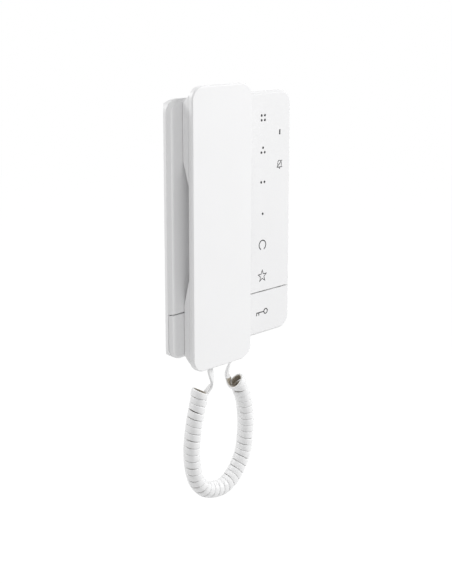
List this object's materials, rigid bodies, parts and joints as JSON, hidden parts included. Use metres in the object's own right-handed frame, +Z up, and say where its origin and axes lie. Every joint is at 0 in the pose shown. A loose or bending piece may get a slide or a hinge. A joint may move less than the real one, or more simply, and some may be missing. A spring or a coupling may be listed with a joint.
{
  "type": "slimline wall phone",
  "caption": "Flat wall phone for a door entry system: handset resting in two wells of a wall base, a strip of printed keys, a long release key and a curly cord.",
  "frame": {"origin": "on the wall, at the centre of the wall bracket's back face", "axes": "+X to the right as one faces the phone, +Y into the wall, +Z up"},
  "size_m": [0.123, 0.034, 0.3126],
  "materials": {
    "base_plastic": "white, satin",
    "key_plastic": "white, satin",
    "handset_plastic": "white, satin",
    "print_ink": "dark grey print, matt",
    "bracket_steel": "zinc plated sheet",
    "screw_steel": "plated, bright",
    "magnet_metal": "nickel plated",
    "weight_steel": "plain",
    "board_laminate": "green solder mask",
    "black_plastic": "black, matt",
    "terminal_plastic": "green, matt",
    "switch_cap": "red, matt",
    "capacitor_sleeve": "dark blue sleeve",
    "cone_paper": "dark treated paper",
    "key_rubber": "light grey silicone, matt",
    "boot_rubber": "black, matt",
    "contact_gold": "gold flash",
    "light_guide": "smoked, clear",
    "led_lens": "clear",
    "plug_plastic": "clear",
    "cord_jacket": "white, satin",
    "wire_jacket": "red, satin"
  },
  "bodies": {
    "base": {"wall_bracket": "bracket_steel", "rear_housing": "base_plastic", "front_cover": "base_plastic", "key_symbols": "print_ink", "status_light_guide": "light_guide", "status_led": "led_lens", "key_frame": "key_rubber", "key_contacts": "contact_gold", "main_board": "board_laminate", "board_screws": "screw_steel", "cover_screws": "screw_steel", "release_switch": "black_plastic", "terminal_block": "terminal_plastic", "terminal_screws": "screw_steel", "line_transformer": "black_plastic", "capacitors": "capacitor_sleeve", "controller_chip": "black_plastic", "ringer_basket": "black_plastic", "ringer_cone": "cone_paper", "ringer_magnet": "magnet_metal", "hook_switch": "black_plastic", "base_magnets": "magnet_metal", "cord_jack": "black_plastic", "cord_plug": "plug_plastic", "curly_cord": "cord_jacket"},
    "handset": {"handset_front_shell": "handset_plastic", "handset_back_shell": "handset_plastic", "receiver_capsule": "black_plastic", "receiver_gasket": "key_rubber", "microphone": "weight_steel", "microphone_boot": "boot_rubber", "handset_weight": "weight_steel", "handset_magnets": "magnet_metal", "handset_screws": "screw_steel", "handset_wires": "wire_jacket", "cord_grommet": "cord_jacket"},
    "hook": {"hook_plunger": "key_plastic"},
    "release": {"release_key": "key_plastic", "release_symbol": "print_ink", "release_switch_stem": "switch_cap"},
    "key_one_body": {"key_one": "key_rubber"},
    "key_two_body": {"key_two": "key_rubber"},
    "key_three_body": {"key_three": "key_rubber"},
    "key_four_body": {"key_four": "key_rubber"},
    "key_intercom_body": {"key_intercom": "key_rubber"},
    "key_star_body": {"key_star": "key_rubber"},
    "key_mute_body": {"key_mute": "key_rubber"}
  },
  "joints": [
    {"name": "handset_lift", "type": "slide", "parent": "base", "child": "handset", "axis": [0, -1, 0], "range_m": [0, 0.05], "deforming": ["curly_cord"]},
    {"name": "hook_travel", "type": "slide", "parent": "base", "child": "hook", "axis": [0, -1, 0], "range_m": [0, 0.0023]},
    {"name": "release_press", "type": "slide", "parent": "base", "child": "release", "axis": [0, 1, 0], "range_m": [0, 0.0006], "stiffness_N_per_m": 2500},
    {"name": "key_one_press", "type": "slide", "parent": "base", "child": "key_one_body", "axis": [0, 1, 0], "range_m": [0, 0.0004], "stiffness_N_per_m": 3000},
    {"name": "key_two_press", "type": "slide", "parent": "base", "child": "key_two_body", "axis": [0, 1, 0], "range_m": [0, 0.0004], "stiffness_N_per_m": 3000},
    {"name": "key_three_press", "type": "slide", "parent": "base", "child": "key_three_body", "axis": [0, 1, 0], "range_m": [0, 0.0004], "stiffness_N_per_m": 3000},
    {"name": "key_four_press", "type": "slide", "parent": "base", "child": "key_four_body", "axis": [0, 1, 0], "range_m": [0, 0.0004], "stiffness_N_per_m": 3000},
    {"name": "key_intercom_press", "type": "slide", "parent": "base", "child": "key_intercom_body", "axis": [0, 1, 0], "range_m": [0, 0.0004], "stiffness_N_per_m": 3000},
    {"name": "key_star_press", "type": "slide", "parent": "base", "child": "key_star_body", "axis": [0, 1, 0], "range_m": [0, 0.0004], "stiffness_N_per_m": 3000},
    {"name": "key_mute_press", "type": "slide", "parent": "base", "child": "key_mute_body", "axis": [0, 1, 0], "range_m": [0, 0.0004], "stiffness_N_per_m": 3000}
  ],
  "couplings": [
    {"joint": "hook_travel", "follows": "handset_lift", "ratio": 0.046}
  ]
}
